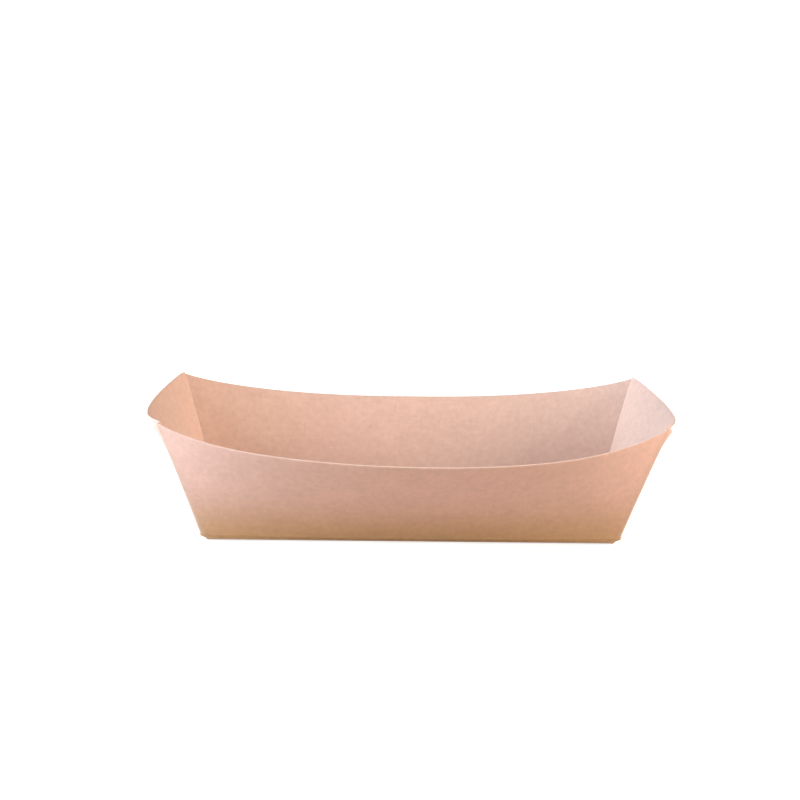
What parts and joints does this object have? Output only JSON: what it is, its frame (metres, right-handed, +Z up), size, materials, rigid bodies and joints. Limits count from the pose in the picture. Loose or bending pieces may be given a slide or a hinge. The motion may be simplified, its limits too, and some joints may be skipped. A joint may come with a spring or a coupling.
{
  "type": "paper food tray",
  "caption": "Open food tray folded from a sheet of kraft board, with a flat floor, flared walls, hollow-cut long rims and web corners laid flat outside the end walls.",
  "frame": {"origin": "centre of the flat floor's underside, on the surface that the tray stands on", "axes": "+X along the long walls, +Y across the tray, +Z up"},
  "size_m": [0.1664, 0.1088, 0.0401],
  "materials": {
    "kraft_board": "matte, uncoated"
  },
  "bodies": {
    "root": {"folded_tray": "kraft_board"}
  },
  "joints": []
}
